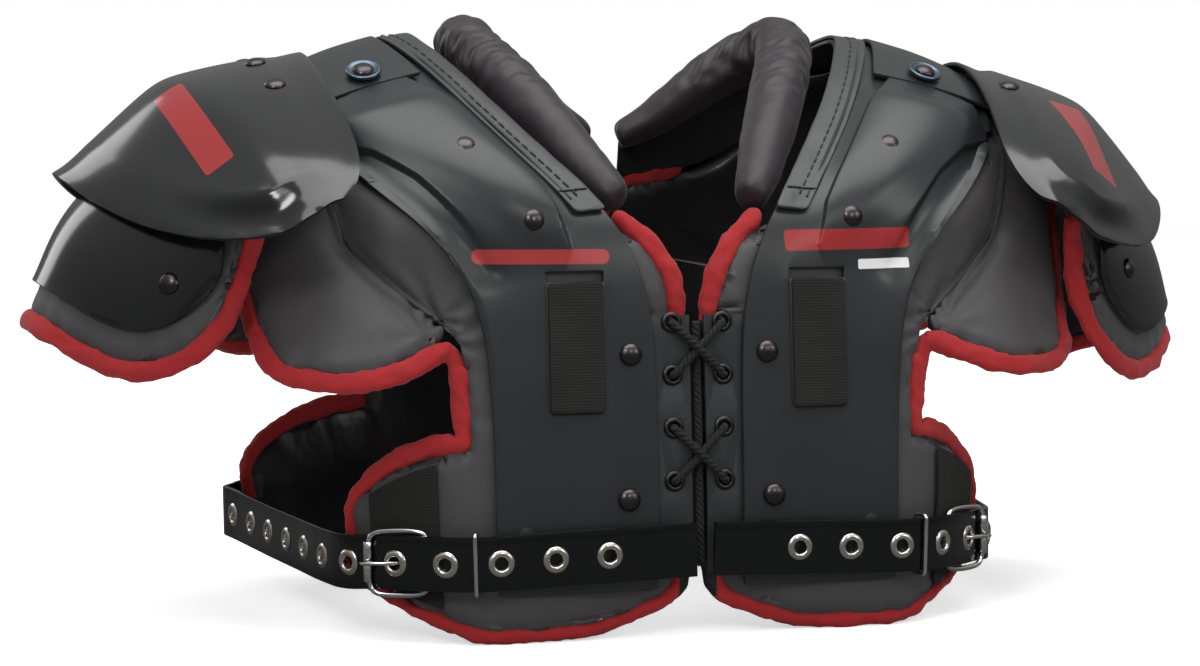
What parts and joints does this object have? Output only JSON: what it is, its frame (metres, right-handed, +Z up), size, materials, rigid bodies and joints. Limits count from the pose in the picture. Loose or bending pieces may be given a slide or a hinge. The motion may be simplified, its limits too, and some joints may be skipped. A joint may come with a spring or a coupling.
{
  "type": "football shoulder pad",
  "caption": "Football shoulder pads with two laced plastic arches over quilted padding, shoulder flaps and caps, a neck roll, and side belts with steel buckles.",
  "frame": {"origin": "on the surface the hem rests on, under the centre of the bounding box", "axes": "+Z up through the neck opening, the wearer faces -Y, +X to the wearer's left side"},
  "size_m": [0.5862, 0.254, 0.2849],
  "materials": {
    "shell": "satin dark charcoal plastic with a fine grain",
    "gloss": "glossy near-black plastic",
    "vinyl": "satin vinyl, stitched",
    "padding": "dark grey twill nylon over foam",
    "lining": "smooth purplish black nylon",
    "piping": "red woven tape",
    "webbing": "ribbed black elastic webbing",
    "cord": "braided black lace",
    "belt": "glossy black patent vinyl",
    "buckle": "polished steel",
    "rivet": "dark nickel"
  },
  "bodies": {
    "root": {"arch_shell_left": "shell", "arch_shell_right": "shell", "neck_binding_left": "vinyl", "neck_binding_right": "vinyl", "bridge_strap_left": "shell", "bridge_strap_right": "shell", "shoulder_flap_left": "gloss", "shoulder_flap_right": "gloss", "shoulder_cap_left": "gloss", "shoulder_cap_right": "gloss", "cap_pad_left": "padding", "cap_pad_right": "padding", "cap_piping_left": "piping", "cap_piping_right": "piping", "shoulder_pad_left": "padding", "shoulder_pad_right": "padding", "shoulder_piping_left": "piping", "shoulder_piping_right": "piping", "front_pad_left": "padding", "front_pad_right": "padding", "front_piping_left": "piping", "front_piping_right": "piping", "back_pad_left": "padding", "back_pad_right": "padding", "back_piping_left": "piping", "back_piping_right": "piping", "collar_roll_left": "lining", "collar_roll_right": "lining", "front_lace_tab_left": "vinyl", "front_lace_tab_right": "vinyl", "back_lace_tab_left": "vinyl", "back_lace_tab_right": "vinyl", "front_lace": "cord", "back_lace": "cord", "chest_webbing_left": "webbing", "chest_webbing_right": "webbing", "side_webbing_left": "webbing", "side_webbing_right": "webbing", "belt_left": "belt", "belt_right": "belt", "buckle_tab_left": "belt", "buckle_tab_right": "belt", "buckle_frame_left": "buckle", "buckle_frame_right": "buckle", "buckle_prong_left": "buckle", "buckle_prong_right": "buckle", "belt_keeper_left": "buckle", "belt_keeper_right": "buckle", "chest_rivet_low_left": "rivet", "chest_rivet_low_right": "rivet", "chest_rivet_high_left": "rivet", "chest_rivet_high_right": "rivet", "collarbone_rivet_left": "rivet", "collarbone_rivet_right": "rivet", "shoulder_rivet_left": "rivet", "shoulder_rivet_right": "rivet", "bridge_rivet_front_left": "rivet", "bridge_rivet_front_right": "rivet", "bridge_rivet_back_left": "rivet", "bridge_rivet_back_right": "rivet"}
  },
  "joints": []
}
